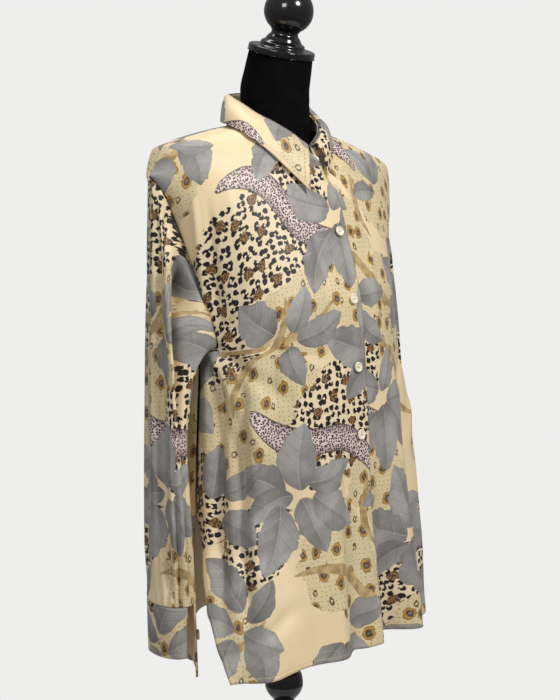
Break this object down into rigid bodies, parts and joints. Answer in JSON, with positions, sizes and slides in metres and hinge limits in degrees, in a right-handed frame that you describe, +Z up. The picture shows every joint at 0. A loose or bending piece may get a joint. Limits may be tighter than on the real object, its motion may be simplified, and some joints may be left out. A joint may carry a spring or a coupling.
{
  "type": "printed blouse on dress form",
  "caption": "Long-sleeved collared blouse in printed satin cloth, buttoned up the front with side vents, worn by a limbless dress form on a turned post and round base.",
  "frame": {"origin": "middle of the base's flat underside, on the axis of the post", "axes": "+Z up, the blouse's front faces -Y, the wearer's left is +X"},
  "size_m": [0.4867, 0.3429, 1.3627],
  "materials": {
    "printed_cloth": "soft satin-faced printed cloth",
    "pearl_button": "pearly polished",
    "black_jersey": "matt knitted cover",
    "black_lacquer": "gloss black lacquer on turned wood"
  },
  "bodies": {
    "root": {"front_right": "printed_cloth", "front_left": "printed_cloth", "back": "printed_cloth", "sleeve_right": "printed_cloth", "sleeve_left": "printed_cloth", "cuff_right": "printed_cloth", "cuff_left": "printed_cloth", "collar_stand": "printed_cloth", "collar_leaf": "printed_cloth", "button_1": "pearl_button", "button_2": "pearl_button", "button_3": "pearl_button", "button_4": "pearl_button", "button_5": "pearl_button", "cuff_button_right": "pearl_button", "cuff_button_left": "pearl_button", "dress_form": "black_jersey", "neck_cap": "black_lacquer", "stand_post": "black_lacquer", "stand_base": "black_lacquer"}
  },
  "joints": []
}
